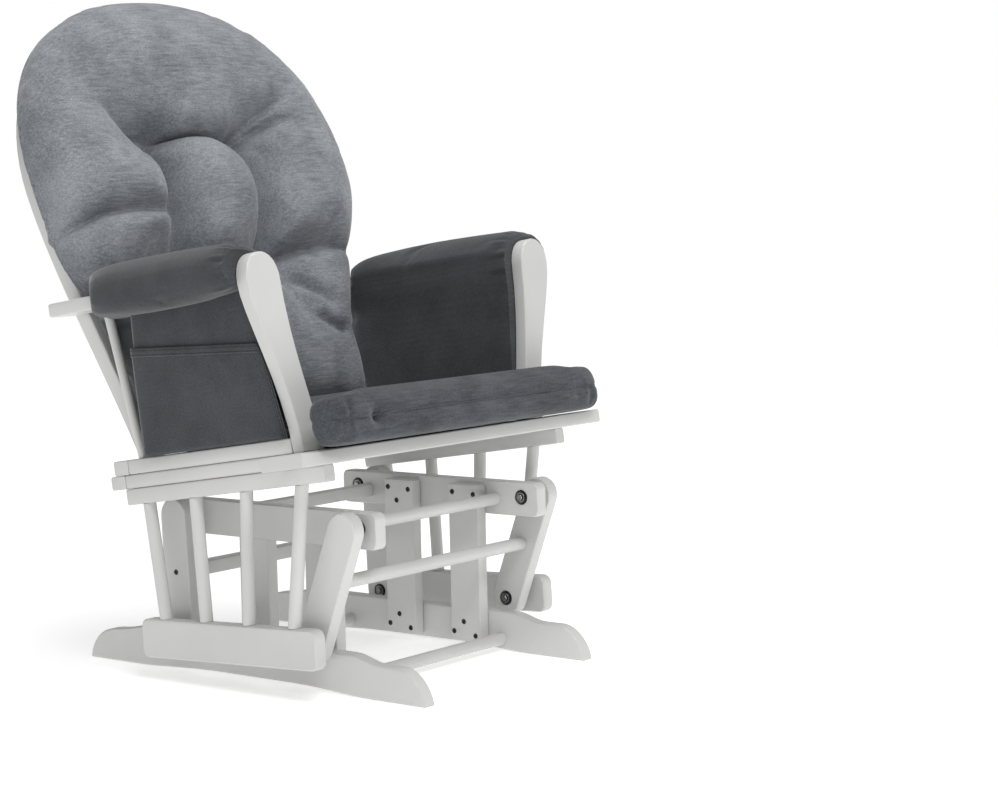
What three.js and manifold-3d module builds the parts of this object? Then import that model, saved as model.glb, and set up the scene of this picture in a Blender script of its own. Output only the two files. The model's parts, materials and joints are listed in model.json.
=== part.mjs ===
// Glider nursery chair: a seat that hangs on four swing links inside a floor base, with padded arms
// and a hoop back. Millimetres, +Z up, +Y to the rear, +X to the sitter's left, floor at z = 0.
import * as THREE from 'three';
import { mergeVertices } from 'three/addons/utils/BufferGeometryUtils.js';
import Module from 'manifold-3d';

const wasm = await Module();
wasm.setup();

// ---- Driving dimensions ----
const CENTRE_Y = 69.4; // how far the drawing's origin lies in front of the middle of the chair's depth
const GAP = 0.3; // clearance between pieces that touch
const BOARD = 20; // thickness of every side board
const EDGE = 2; // rounding of the painted edges
const DOWEL_R = 9; // cross dowels and seat spindles

const BASE_X = 172.5; // centre plane of the feet and base rails
const SPACER = 15.5; // air between neighbouring side boards, filled by the pivot sleeves
const LINK_X = BASE_X + BOARD + SPACER;
const SEAT_SIDE_X = LINK_X + BOARD + SPACER;
const BASE_INNER_X = BASE_X - BOARD / 2;
const LINK_INNER_X = LINK_X - BOARD / 2;

const FOOT = { front: -288, rear: 338, height: 56, arch: 6 };
const POST = { width: 54, bottom: 12, top: 238, frontY: -94, rearY: 27 };
const BASE_RAIL = { front: -213, rear: 152, bottom: 196, top: 244, corner: 9 };
const PIVOT_Z = 223; // height of the four upper pivots
const FRONT_PIVOT_Y = -183.4;
const REAR_PIVOT_Y = 122.4;
const LINK_LENGTH = 165; // pivot to pivot
const LINK_R = 24; // half width of a link
const FRONT_SWING = 20.9; // lean of the front links as the chair stands, in degrees
const LOWER_PIVOT_SPAN = 240.8; // between the lower pivots of one side
const CROSS_RADIUS = 77; // from an upper pivot to the cross member that ties two links
const SLEEVE_R = 9.5;
const STUD_R = 4;
const FREE_STUD_GAP = 4.2; // clearance round the stud of the open pivot, lower rear

const SEAT_TILT = 8.4; // the seat frame's rise to the front, in degrees
const SEAT_Z = 263.6; // underside of the seat rails above the drawing's origin
const SEAT_RAIL_X = 245.5;
const STACK = { low: 22, middle: 41, top: 61.5 }; // tops of the three layers of the seat frame
const SEAT_FRONT = -220;
const SEAT_HALF_WIDTH = 255;
const FRONT_RAIL = { half: 316, depth: 75 };
const ARM_POST = { front: -166, thickness: 20, top: 300 };
const ARM_BOARD = { inner: 271, outer: 322, bottom: 266, top: 284, rear: 205 };
const BACK_RECLINE = 14.5; // the back's lean from the seat frame's own upright, in degrees
const BACK_V = 143.1; // where the hoop's rear plane crosses the bottom of the seat frame
const HOOP = { thickness: 25, width: 26, foot: 23, half: 285, centre: 455, rise: 280, footHalf: 235 };
const SPINDLE_FEET = [114.2, 37.7, -41.1, -122.6];
const SPINDLE_HEADS = [137.1, 48.3, -45.6, -144.6];

// ---- Materials ----
const paint = new THREE.MeshStandardMaterial({ color: 0xe8e8e5, roughness: 0.38, metalness: 0 });
const backCloth = new THREE.MeshStandardMaterial({ color: 0x5d646c, roughness: 0.95, metalness: 0 });
const armCloth = new THREE.MeshStandardMaterial({ color: 0x3f4347, roughness: 0.95, metalness: 0 });
const bearing = new THREE.MeshStandardMaterial({ color: 0x1d1e20, roughness: 0.45, metalness: 0.4 });

const rad = THREE.MathUtils.degToRad;
const chair = new THREE.Group();
chair.position.y = -CENTRE_Y;
const base = new THREE.Group();
const links = new THREE.Group();
const seat = new THREE.Group(); // x across, y rearwards along the seat, z square to the seat
seat.position.z = SEAT_Z;
seat.rotation.x = -rad(SEAT_TILT);
const back = new THREE.Group(); // x across, z up along the back, y = 0 on the hoop's rear plane
back.position.y = BACK_V;
back.rotation.x = -rad(BACK_RECLINE);
seat.add(back);
chair.add(base, links, seat);

// ---- Shared builders ----
function add(group, name, geometry, material) {
  const mesh = new THREE.Mesh(geometry, material);
  mesh.name = name;
  group.add(mesh);
  return mesh;
}

// Calls build once for the sitter's right (side -1) and once for the left (side +1).
function bothSides(build) {
  build('right', -1);
  build('left', 1);
}

// A shape drawn in (x, y), made into a board of that thickness centred on z = 0, with rounded edges.
function board(shape, thickness, edge = EDGE, segments = 1, curveSegments = 4) {
  const depth = thickness - 2 * edge;
  const geometry = new THREE.ExtrudeGeometry(shape, {
    depth,
    bevelEnabled: true,
    bevelThickness: edge,
    bevelSize: edge,
    bevelOffset: -edge,
    bevelSegments: segments,
    curveSegments,
  });
  return geometry.translate(0, 0, -depth / 2);
}

// Turns a board drawn in (x, y) so that the drawing lies in the side plane (y, z).
function toSidePlane(geometry) {
  const turn = new THREE.Matrix4().makeBasis(
    new THREE.Vector3(0, 1, 0),
    new THREE.Vector3(0, 0, 1),
    new THREE.Vector3(1, 0, 0),
  );
  return geometry.applyMatrix4(turn);
}

// Turns a board drawn in (x, y) so that the drawing faces the front: (x, z).
function toFrontPlane(geometry) {
  return geometry.rotateX(Math.PI / 2);
}

function roundedRect(x0, y0, x1, y1, r) {
  const shape = new THREE.Shape();
  shape.moveTo(x0 + r, y0);
  shape.lineTo(x1 - r, y0);
  shape.absarc(x1 - r, y0 + r, r, -Math.PI / 2, 0);
  shape.lineTo(x1, y1 - r);
  shape.absarc(x1 - r, y1 - r, r, 0, Math.PI / 2);
  shape.lineTo(x0 + r, y1);
  shape.absarc(x0 + r, y1 - r, r, Math.PI / 2, Math.PI);
  shape.lineTo(x0, y0 + r);
  shape.absarc(x0 + r, y0 + r, r, Math.PI, 1.5 * Math.PI);
  return shape;
}

// A round hole whose flats stay outside the given radius.
function circleHole(x, y, r) {
  const sides = 16;
  const reach = r / Math.cos(Math.PI / sides);
  const points = [];
  for (let i = 0; i < sides; i += 1) {
    const angle = (-2 * Math.PI * i) / sides;
    points.push(new THREE.Vector2(x + reach * Math.cos(angle), y + reach * Math.sin(angle)));
  }
  return new THREE.Path(points);
}

// A straight-grained bar between two corners, with its long edges rounded.
function bar(low, high, along) {
  const size = high.map((value, i) => value - low[i]);
  const middle = high.map((value, i) => (value + low[i]) / 2);
  const across = [0, 1, 2].filter((i) => i !== along);
  const [u, v] = along === 1 ? [across[1], across[0]] : across;
  const shape = new THREE.Shape();
  const [a, b] = [size[u] / 2, size[v] / 2];
  const corners = [[-a + EDGE, -b], [a - EDGE, -b], [a, -b + EDGE], [a, b - EDGE]];
  for (const [x, y] of [...corners, ...corners.map(([x, y]) => [-x, -y])]) {
    if (shape.curves.length === 0 && shape.currentPoint.lengthSq() === 0) shape.moveTo(x, y);
    else shape.lineTo(x, y);
  }
  const axis = (i) => new THREE.Vector3(...[0, 1, 2].map((k) => (k === i ? 1 : 0)));
  const geometry = board(shape, size[along], 1, 1, 1);
  geometry.applyMatrix4(new THREE.Matrix4().makeBasis(axis(u), axis(v), axis(along)));
  return geometry.translate(...middle);
}

// A round rod from one point to another, its ends cut to lie in planes with the given normals.
function rod(from, to, radius, fromNormal, toNormal, sides = 20) {
  const axis = to.clone().sub(from).normalize();
  const geometry = new THREE.CylinderGeometry(radius, radius, 2, sides);
  const turn = new THREE.Quaternion().setFromUnitVectors(new THREE.Vector3(0, 1, 0), axis);
  const position = geometry.attributes.position;
  for (let i = 0; i < position.count; i += 1) {
    const point = new THREE.Vector3().fromBufferAttribute(position, i);
    const [end, normal] = point.y > 0 ? [to, toNormal] : [from, fromNormal];
    const offset = point.setY(0).applyQuaternion(turn);
    const slide = -offset.dot(normal) / axis.dot(normal);
    offset.addScaledVector(axis, slide).add(end);
    position.setXYZ(i, offset.x, offset.y, offset.z);
  }
  return geometry;
}

// A dowel between two side boards, along x.
function crossDowel(half, y, z, radius = DOWEL_R) {
  const reach = half - GAP;
  const normal = new THREE.Vector3(1, 0, 0);
  return rod(new THREE.Vector3(-reach, y, z), new THREE.Vector3(reach, y, z), radius, normal, normal);
}

function toManifold(geometry) {
  const bare = geometry.clone();
  bare.deleteAttribute('normal');
  bare.deleteAttribute('uv');
  const merged = mergeVertices(bare, 1e-3);
  const mesh = new wasm.Mesh({
    numProp: 3,
    vertProperties: new Float32Array(merged.attributes.position.array),
    triVerts: new Uint32Array(merged.index.array),
  });
  return new wasm.Manifold(mesh);
}

function fromManifold(solid) {
  const mesh = solid.getMesh();
  const geometry = new THREE.BufferGeometry();
  geometry.setAttribute('position', new THREE.BufferAttribute(mesh.vertProperties, 3));
  geometry.setIndex(new THREE.BufferAttribute(mesh.triVerts, 1));
  const flat = geometry.toNonIndexed();
  flat.computeVertexNormals();
  return flat;
}

// Drills a blind stud hole into a board's inner face. The board is centred on x = 0.
function drillForStud(geometry, side, y, z, clearance = GAP) {
  const depth = 15;
  const overshoot = 5;
  const radius = STUD_R + clearance;
  const drill = new THREE.CylinderGeometry(radius, radius, depth + overshoot, 16);
  drill.rotateZ(Math.PI / 2);
  drill.translate(-side * (BOARD / 2 - depth / 2 + overshoot / 2), y, z);
  return fromManifold(toManifold(geometry).subtract(toManifold(drill)));
}

// ---- Linkage, as it stands at rest ----
const pivot = (y, z) => new THREE.Vector2(y, z);
const frontTop = pivot(FRONT_PIVOT_Y, PIVOT_Z);
const rearTop = pivot(REAR_PIVOT_Y, PIVOT_Z);
const frontDirection = pivot(Math.sin(rad(FRONT_SWING)), -Math.cos(rad(FRONT_SWING)));
const frontBottom = frontTop.clone().addScaledVector(frontDirection, LINK_LENGTH);

// The rear lower pivot is a link's length from its upper pivot and the span from the front one.
function closeLinkage() {
  const between = rearTop.clone().sub(frontBottom);
  const distance = between.length();
  const along = (LOWER_PIVOT_SPAN ** 2 - LINK_LENGTH ** 2 + distance ** 2) / (2 * distance);
  const aside = Math.sqrt(LOWER_PIVOT_SPAN ** 2 - along ** 2);
  const direction = between.normalize();
  const below = pivot(direction.y, -direction.x);
  return frontBottom.clone().addScaledVector(direction, along).addScaledVector(below, aside);
}
const rearBottom = closeLinkage();
const rearDirection = rearBottom.clone().sub(rearTop).normalize();
const lowerDirection = rearBottom.clone().sub(frontBottom).normalize();
const lowerAngle = Math.atan2(lowerDirection.y, lowerDirection.x);

// ---- Base ----
function footShape() {
  const { front, rear, height, arch } = FOOT;
  const toe = 46; // height of the low flat behind each toe
  const shape = new THREE.Shape();
  shape.moveTo(front, 1.5);
  shape.lineTo(front + 2, 0);
  shape.lineTo(-200, 0);
  shape.bezierCurveTo(-150, 0, -110, arch, -60, arch);
  shape.lineTo(80, arch);
  shape.bezierCurveTo(140, arch, 190, 0, 240, 0);
  shape.lineTo(rear - 2, 0);
  shape.lineTo(rear, 1.5);
  shape.bezierCurveTo(rear - 4, 24, rear - 22, toe - 2, rear - 52, toe);
  shape.bezierCurveTo(rear - 90, toe + 2, rear - 95, height, rear - 125, height);
  shape.lineTo(-158, height);
  shape.bezierCurveTo(-182, height, -190, toe, -212, toe);
  shape.lineTo(front + 44, toe);
  shape.bezierCurveTo(front + 22, toe - 2, front + 3, 22, front, 1.5);
  return shape;
}

function baseRailShape() {
  const { front, rear, bottom, top, corner } = BASE_RAIL;
  const shape = roundedRect(front, bottom, rear, top, corner);
  shape.holes.push(circleHole(frontTop.x, frontTop.y, SLEEVE_R + GAP));
  shape.holes.push(circleHole(rearTop.x, rearTop.y, SLEEVE_R + GAP));
  return shape;
}

function makeBase() {
  const postInner = BASE_INNER_X - GAP - BOARD;
  bothSides((name, side) => {
    add(base, `${name}_foot`, toSidePlane(board(footShape(), BOARD, EDGE, 1, 8)), paint).position.x = side * BASE_X;
    const rail = toSidePlane(board(baseRailShape(), BOARD, 1.5));
    add(base, `${name}_base_rail`, rail, paint).position.x = side * BASE_X;
    for (const [place, y] of [['front', POST.frontY], ['rear', POST.rearY]]) {
      const low = [postInner, y - POST.width / 2, POST.bottom];
      const high = [postInner + BOARD, y + POST.width / 2, POST.top];
      const post = bar(low, high, 2).translate(-postInner - BOARD / 2, 0, 0);
      add(base, `${name}_${place}_post`, post, paint).position.x = side * (postInner + BOARD / 2);
    }
  });
  add(base, 'front_foot_dowel', crossDowel(BASE_INNER_X, -143.4, 17.5), paint);
  add(base, 'rear_foot_dowel', crossDowel(BASE_INNER_X, 144, 17.5), paint);
  add(base, 'base_front_dowel', crossDowel(BASE_INNER_X, -138.6, 218.5, 8.5), paint);
  const half = BASE_INNER_X - GAP;
  add(base, 'base_rear_crossbar', bar([-half, 92, 208], [half, 109, 226], 0), paint);
}

// ---- Links ----
function linkShape(top, bottom) {
  const angle = Math.atan2(bottom.y - top.y, bottom.x - top.x);
  const shape = new THREE.Shape();
  shape.absarc(bottom.x, bottom.y, LINK_R, angle - Math.PI / 2, angle + Math.PI / 2);
  shape.absarc(top.x, top.y, LINK_R, angle + Math.PI / 2, angle + 1.5 * Math.PI);
  shape.holes.push(circleHole(bottom.x, bottom.y, SLEEVE_R + GAP));
  return shape;
}

function makeLinks() {
  bothSides((name, side) => {
    for (const [place, top, bottom] of [['front', frontTop, frontBottom], ['rear', rearTop, rearBottom]]) {
      const plate = toSidePlane(board(linkShape(top, bottom), BOARD, 1.5, 1, 6));
      const drilled = drillForStud(plate, side, top.x, top.y);
      add(links, `${name}_${place}_link`, drilled, paint).position.x = side * LINK_X;
    }
  });
  const dowel = frontTop.clone().addScaledVector(frontDirection, CROSS_RADIUS);
  add(links, 'front_link_dowel', crossDowel(LINK_INNER_X, dowel.x, dowel.y), paint);
  const middle = rearTop.clone().addScaledVector(rearDirection, CROSS_RADIUS);
  const half = LINK_INNER_X - GAP;
  const low = [-half, middle.x - 10, middle.y - 9.5];
  add(links, 'rear_link_crossbar', bar(low, [half, middle.x + 10, middle.y + 9.5], 0), paint);
}

// One pivot: a headed sleeve through a board and the spacer gap, with its stud in the next board.
function pivotGeometry(side) {
  const head = { r: 5.5, height: 3.5 };
  const proud = 1;
  const sleeveEnd = BOARD + SPACER - GAP;
  const stud = 13;
  const profile = [
    [0, -head.height],
    [head.r, -head.height],
    [head.r, -proud],
    [SLEEVE_R, -proud],
    [SLEEVE_R, sleeveEnd],
    [STUD_R, sleeveEnd],
    [STUD_R, sleeveEnd + stud],
    [0, sleeveEnd + stud],
  ];
  const points = profile.map(([r, x]) => new THREE.Vector2(r, x));
  return new THREE.LatheGeometry(points, 14).rotateZ(-side * Math.PI / 2);
}

function makePivots() {
  const places = [
    ['upper_front_pivot', frontTop, BASE_INNER_X],
    ['upper_rear_pivot', rearTop, BASE_INNER_X],
    ['lower_front_pivot', frontBottom, LINK_INNER_X],
    ['lower_rear_pivot', rearBottom, LINK_INNER_X],
  ];
  bothSides((name, side) => {
    for (const [place, at, x] of places) {
      add(links, `${name}_${place}`, pivotGeometry(side), bearing).position.set(side * x, at.x, at.y);
    }
  });
}

// ---- Seat undercarriage: lower rails on the links, spindles up to the seat rails ----
const LOWER_RAIL = { front: 43.5, rear: 37.6, below: 25, above: 28, corner: 12 };

function makeUndercarriage() {
  const { front, rear, below, above, corner } = LOWER_RAIL;
  const shape = roundedRect(-front, -below, LOWER_PIVOT_SPAN + rear, above, corner);
  const down = new THREE.Vector3(0, -Math.sin(lowerAngle), Math.cos(lowerAngle));
  const seatNormal = new THREE.Vector3(0, Math.sin(rad(SEAT_TILT)), Math.cos(rad(SEAT_TILT)));
  const railTop = (y) => frontBottom.y + (y - frontBottom.x) * Math.tan(lowerAngle);
  const lift = above / Math.cos(lowerAngle);
  const seatBottom = (y) => SEAT_Z - y * Math.tan(rad(SEAT_TILT));
  bothSides((name, side) => {
    const plain = toSidePlane(board(shape, BOARD));
    const atFront = drillForStud(plain, side, 0, 0);
    const drilled = drillForStud(atFront, side, LOWER_PIVOT_SPAN, 0, FREE_STUD_GAP);
    const rail = add(chair, `${name}_lower_rail`, drilled, paint);
    rail.position.set(side * SEAT_SIDE_X, frontBottom.x, frontBottom.y);
    rail.rotation.x = lowerAngle;
    SPINDLE_FEET.forEach((foot, i) => {
      const head = SPINDLE_HEADS[i];
      const from = new THREE.Vector3(side * SEAT_SIDE_X, foot, railTop(foot) + lift + GAP);
      const to = new THREE.Vector3(side * SEAT_RAIL_X, head, seatBottom(head) - GAP);
      const spindle = rod(from, to, DOWEL_R, down, seatNormal);
      add(chair, `${name}_spindle_${i + 1}`, spindle, paint);
    });
  });
}

// ---- Seat frame: three layers of rails, drawn in the seat's own tilted frame ----
function makeSeatFrame() {
  const { low, middle, top } = STACK;
  const inner = SEAT_RAIL_X - BOARD / 2;
  const outer = SEAT_HALF_WIDTH;
  const frontRailEnd = SEAT_FRONT + FRONT_RAIL.depth;
  const armPostRear = ARM_POST.front + ARM_POST.thickness;
  const rearRail = { middle: [170.3, 199], top: [161.2, 190] };
  const { half } = FRONT_RAIL;
  add(seat, 'front_rail', bar([-half, SEAT_FRONT, low + GAP], [half, frontRailEnd, middle], 0), paint);
  bothSides((name, side) => {
    const layer = (part, from, to) => {
      const width = [inner, outer].map((x) => side * x).sort((a, b) => a - b);
      const rail = bar([width[0], from[0], from[1]], [width[1], to[0], to[1]], 1);
      add(seat, `${name}_${part}`, rail, paint);
    };
    layer('seat_rail', [-197, 0], [172.5, low]);
    layer('middle_rail', [frontRailEnd + GAP, low + GAP], [rearRail.middle[0] - GAP, middle]);
    layer('arm_base_rail', [armPostRear + GAP, middle + GAP], [rearRail.top[0] - GAP, top]);
  });
  const across = (name, [from, to], bottom, height) => {
    add(seat, name, bar([-outer, from, bottom], [outer, to, height], 0), paint);
  };
  across('rear_middle_rail', rearRail.middle, low + GAP, middle);
  across('rear_top_rail', rearRail.top, middle + GAP, top);
}

function makeSeatDeck() {
  const half = SEAT_RAIL_X - BOARD / 2 - GAP;
  const front = SEAT_FRONT + FRONT_RAIL.depth + GAP;
  const shape = roundedRect(-half, front, half, 122, 2);
  add(seat, 'seat_deck', board(shape, 9, 0.5), paint).position.z = 35.5;
}

// ---- Arms ----
function armPostShape(side) {
  const s = side;
  const { top } = ARM_POST;
  const foot = STACK.middle + GAP;
  const shape = new THREE.Shape();
  shape.moveTo(s * 213, foot);
  shape.bezierCurveTo(s * 222, 100, s * 250, 180, s * 252, 262);
  shape.bezierCurveTo(s * 253, 288, s * 268, top, s * 284, top);
  shape.bezierCurveTo(s * 302, top, s * 314, 288, s * 314, 264);
  shape.bezierCurveTo(s * 314, 225, s * 258, 130, s * 254, foot);
  return shape;
}

function makeArms() {
  const { inner, outer, bottom, top, rear } = ARM_BOARD;
  const postRear = ARM_POST.front + ARM_POST.thickness;
  const up = new THREE.Vector3(0, 0, 1);
  bothSides((name, side) => {
    const post = toFrontPlane(board(armPostShape(side), ARM_POST.thickness, EDGE, 1, 8));
    add(seat, `${name}_arm_post`, post, paint).position.y = ARM_POST.front + ARM_POST.thickness / 2;
    const x = [side * inner, side * outer].sort((a, b) => a - b);
    const plan = roundedRect(x[0], postRear + GAP, x[1], rear, 8);
    const rest = board(plan, top - bottom, EDGE);
    add(seat, `${name}_arm_board`, rest, paint).position.z = (top + bottom) / 2;
    const from = new THREE.Vector3(side * 245, 139, STACK.top + GAP);
    const to = new THREE.Vector3(side * 279, 133, bottom - GAP);
    add(seat, `${name}_arm_spindle`, rod(from, to, 6.5, up, up, 16), paint);
  });
}

// ---- Hoop back ----
// Half of the hoop's outline from its foot to the start of the arch, offset inwards by inset.
function hoopHalf(shape, side, inset, upwards) {
  const { footHalf, half, foot, centre } = HOOP;
  const points = [
    [footHalf, foot],
    [footHalf, 66],
    [footHalf + 12, 180],
    [half, 340],
    [half, centre],
  ].map(([x, t]) => [side * (x - inset), t]);
  const [start, knee, pull, push, end] = points;
  if (upwards) {
    shape.lineTo(...start);
    shape.lineTo(...knee);
    shape.bezierCurveTo(...pull, ...push, ...end);
  } else {
    shape.lineTo(...end);
    shape.bezierCurveTo(...push, ...pull, ...knee);
    shape.lineTo(...start);
  }
}

function hoopShape() {
  const { half, rise, centre, width, footHalf, foot } = HOOP;
  const shape = new THREE.Shape();
  shape.moveTo(footHalf - width, foot);
  hoopHalf(shape, 1, 0, true);
  shape.absellipse(0, centre, half, rise, 0, Math.PI);
  hoopHalf(shape, -1, 0, false);
  hoopHalf(shape, -1, width, true);
  shape.absellipse(0, centre, half - width, rise - width, Math.PI, 0, true);
  hoopHalf(shape, 1, width, false);
  return shape;
}

// A flat slat under the arch, its top end following the arch's inner edge.
function slatShape(x, width) {
  const { half, rise, centre, width: band } = HOOP;
  const archAt = (u) => centre + (rise - band) * Math.sqrt(1 - (u / (half - band)) ** 2) - 2 * GAP;
  const shape = new THREE.Shape();
  shape.moveTo(x - width / 2, 44);
  shape.lineTo(x + width / 2, 44);
  const steps = 4;
  for (let i = 0; i <= steps; i += 1) {
    const u = x + width / 2 - (i * width) / steps;
    shape.lineTo(u, archAt(u));
  }
  return shape;
}

function makeBack() {
  const hoop = new THREE.ExtrudeGeometry(hoopShape(), {
    depth: HOOP.thickness - 2 * EDGE,
    bevelThickness: EDGE,
    bevelSize: EDGE,
    bevelOffset: -EDGE,
    bevelSegments: 1,
    curveSegments: 20,
  });
  hoop.translate(0, 0, EDGE);
  add(back, 'hoop', toFrontPlane(hoop), paint);
  const slatThickness = 9;
  for (const [name, x] of [['right', -125], ['centre', 0], ['left', 125]]) {
    const slat = toFrontPlane(board(slatShape(x, 46), slatThickness, 1));
    add(back, `${name}_back_slat`, slat, paint).position.y = -slatThickness / 2 - 1;
  }
}

// ---- Cushions ----
function seatCushionShape() {
  const half = [
    [244, -256],
    [276, -251],
    [293, -239],
    [295, -222],
    [282, -207],
    [236, -192],
    [218, -176],
    [211, -150],
    [211, 84],
    [206, 102],
    [190, 112],
  ];
  const mirrored = half.map(([x, y]) => [-x, y]).reverse();
  return new THREE.Shape([...half, ...mirrored].map(([x, y]) => new THREE.Vector2(x, y)));
}

// The back cushion: a rounded pillow, widest at shoulder height, lying on the hoop and slats.
// It can be drawn larger all round, to cut its place out of a neighbour.
function backCushionGeometry(larger = 0) {
  const bottom = 109 - larger;
  const top = 731 + larger;
  const shoulder = { t: 455, half: 306 + larger };
  const foot = 192 + larger; // half width at the bottom
  const rim = -42; // plane of the widest outline
  const front = 84 + larger;
  const rear = 15 + larger;
  const rings = 15;
  const sides = 28;
  const halfWidth = (t) => {
    if (t > shoulder.t) {
      const share = (t - shoulder.t) / (top - shoulder.t);
      return shoulder.half * (1 - share ** 2.3) ** (1 / 2.3);
    }
    const share = ((t - bottom) / (shoulder.t - bottom)) ** 1.5;
    return foot + (shoulder.half - foot) * Math.sin((share * Math.PI) / 2);
  };
  const dome = (t) => Math.sqrt(1 - Math.abs((2 * t - top - bottom) / (top - bottom)) ** 5);
  const positions = [];
  const index = [];
  for (let i = 0; i < rings; i += 1) {
    const t = (top + bottom) / 2 - ((top - bottom) / 2) * Math.cos((Math.PI * (i + 0.6)) / (rings + 0.2));
    for (let k = 0; k < sides; k += 1) {
      const angle = (2 * Math.PI * k) / sides;
      const sine = Math.sin(angle);
      const depth = sine > 0 ? -front * sine : rear * Math.sqrt(-sine);
      positions.push(halfWidth(t) * Math.cos(angle), rim + depth * dome(t), t);
    }
  }
  const bottomPole = positions.length / 3;
  positions.push(0, rim, bottom, 0, rim, top);
  for (let k = 0; k < sides; k += 1) {
    const next = (k + 1) % sides;
    index.push(bottomPole, k, next);
    for (let i = 0; i < rings - 1; i += 1) {
      const [a, b] = [i * sides + k, i * sides + next];
      index.push(a, a + sides, b, b, a + sides, b + sides);
    }
    const last = (rings - 1) * sides;
    index.push(bottomPole + 1, last + next, last + k);
  }
  const geometry = new THREE.BufferGeometry();
  geometry.setAttribute('position', new THREE.Float32BufferAttribute(positions, 3));
  geometry.setIndex(index);
  geometry.computeVertexNormals();
  return geometry;
}

// An arm cushion: a padded sleeve round the arm board, with an inner and an outer flap below it.
// Its rear end is rounded in plan, leans with the hoop and leaves room for the arm spindle and the
// back cushion.
function armCushionGeometry(side) {
  const s = side;
  const front = ARM_POST.front + ARM_POST.thickness + GAP;
  const rear = 190;
  const { inner, outer, bottom, top } = ARM_BOARD;
  const pad = new THREE.Shape();
  pad.moveTo(s * 258, 256);
  pad.lineTo(s * 326, 256);
  pad.bezierCurveTo(s * 340, 262, s * 340, 292, s * 330, 304);
  pad.bezierCurveTo(s * 320, 323, s * 268, 327, s * 254, 308);
  pad.bezierCurveTo(s * 244, 296, s * 246, 262, s * 258, 256);
  const x = [s * (inner - GAP), s * (outer + GAP)].sort((a, b) => a - b);
  const slot = roundedRect(x[0], bottom - GAP, x[1], top + GAP, 1);
  pad.holes.push(new THREE.Path(slot.getPoints(2)));
  const polygon = (points) => new THREE.Shape(points.map(([u, w]) => new THREE.Vector2(u, w)));
  const flap = (points) => polygon(points.map(([u, w]) => [s * u, w]));
  const innerFlap = flap([[222, 72], [235, 72], [255, 200], [263, 259], [252, 280], [246, 262], [234, 160]]);
  const outerFlap = flap([[257, 62.5], [266, 62.5], [302, 262], [292, 262]]);
  const swept = (shape, from, to) => {
    const options = { depth: to - from, bevelEnabled: false, curveSegments: 5 };
    return new THREE.ExtrudeGeometry(shape, options);
  };
  const solid = (shape, from, to) => toManifold(toFrontPlane(swept(shape, from, to)).translate(0, to, 0));
  const plan = new THREE.Shape();
  plan.moveTo(s * 200, front - 5);
  plan.lineTo(s * 350, front - 5);
  plan.lineTo(s * 350, 84);
  plan.bezierCurveTo(s * 330, 130, s * 292, 164, s * 246, 174);
  plan.lineTo(s * 200, 174);
  const planSolid = toManifold(swept(plan, 50, 330).translate(0, 0, 50));
  const lean = Math.tan(rad(BACK_RECLINE));
  const hoopFront = (w) => BACK_V - HOOP.thickness / Math.cos(rad(BACK_RECLINE)) + w * lean - 5;
  const profile = polygon([[front, 50], [hoopFront(50), 50], [hoopFront(330), 330], [front, 330]]);
  const profileSolid = toManifold(toSidePlane(swept(profile, 200, 350)).translate(s > 0 ? 200 : -350, 0, 0));
  const spindleRoom = flap([[265, 240], [292, 240], [292, bottom + 1], [265, bottom + 1]]);
  const backRoom = backCushionGeometry(1).rotateX(back.rotation.x).translate(0, BACK_V, 0);
  return fromManifold(
    solid(pad, front, rear)
      .add(solid(innerFlap, front, rear))
      .add(solid(outerFlap, front, 105))
      .intersect(planSolid)
      .intersect(profileSolid)
      .subtract(solid(spindleRoom, 122, rear))
      .subtract(toManifold(backRoom)),
  );
}

function makeCushions() {
  const bottom = STACK.middle + 1;
  const top = 112;
  const cushion = board(seatCushionShape(), top - bottom, 12, 2);
  add(seat, 'seat_cushion', cushion, backCloth).position.z = (top + bottom) / 2;
  add(back, 'back_cushion', backCushionGeometry(), backCloth);
  bothSides((name, side) => {
    add(seat, `${name}_arm_cushion`, armCushionGeometry(side), armCloth);
  });
}

makeBase();
makeLinks();
makePivots();
makeUndercarriage();
makeSeatFrame();
makeSeatDeck();
makeArms();
makeBack();
makeCushions();

export default chair;
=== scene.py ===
"""Looks for a glider nursery chair: painted wood, heathered cushions, padded arms and black pivots, built
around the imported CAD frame. Lengths are in millimetres unless a comment says metres, and are turned into
metres where they are used."""

import json
import math

import bmesh
import bpy
import numpy as np
from mathutils import Matrix, Vector
from mathutils.bvhtree import BVHTree

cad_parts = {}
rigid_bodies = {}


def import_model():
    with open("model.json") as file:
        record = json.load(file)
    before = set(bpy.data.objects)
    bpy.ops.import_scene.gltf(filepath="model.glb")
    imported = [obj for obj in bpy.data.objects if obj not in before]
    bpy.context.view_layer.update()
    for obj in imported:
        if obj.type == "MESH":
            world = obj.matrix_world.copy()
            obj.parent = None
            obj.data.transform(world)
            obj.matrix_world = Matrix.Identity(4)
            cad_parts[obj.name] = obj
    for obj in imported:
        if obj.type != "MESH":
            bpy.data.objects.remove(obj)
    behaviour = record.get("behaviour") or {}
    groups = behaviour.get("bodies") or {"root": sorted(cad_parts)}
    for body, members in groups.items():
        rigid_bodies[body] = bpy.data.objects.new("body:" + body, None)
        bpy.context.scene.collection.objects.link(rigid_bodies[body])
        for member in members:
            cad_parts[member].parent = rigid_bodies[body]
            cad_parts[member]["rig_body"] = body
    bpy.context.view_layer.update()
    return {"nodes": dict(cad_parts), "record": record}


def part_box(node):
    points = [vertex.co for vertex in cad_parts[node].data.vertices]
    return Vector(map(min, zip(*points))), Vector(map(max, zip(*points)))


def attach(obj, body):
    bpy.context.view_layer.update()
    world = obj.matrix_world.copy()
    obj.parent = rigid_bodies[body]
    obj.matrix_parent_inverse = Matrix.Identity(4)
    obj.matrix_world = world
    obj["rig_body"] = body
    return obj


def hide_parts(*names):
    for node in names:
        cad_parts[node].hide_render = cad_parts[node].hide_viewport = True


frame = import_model()

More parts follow.
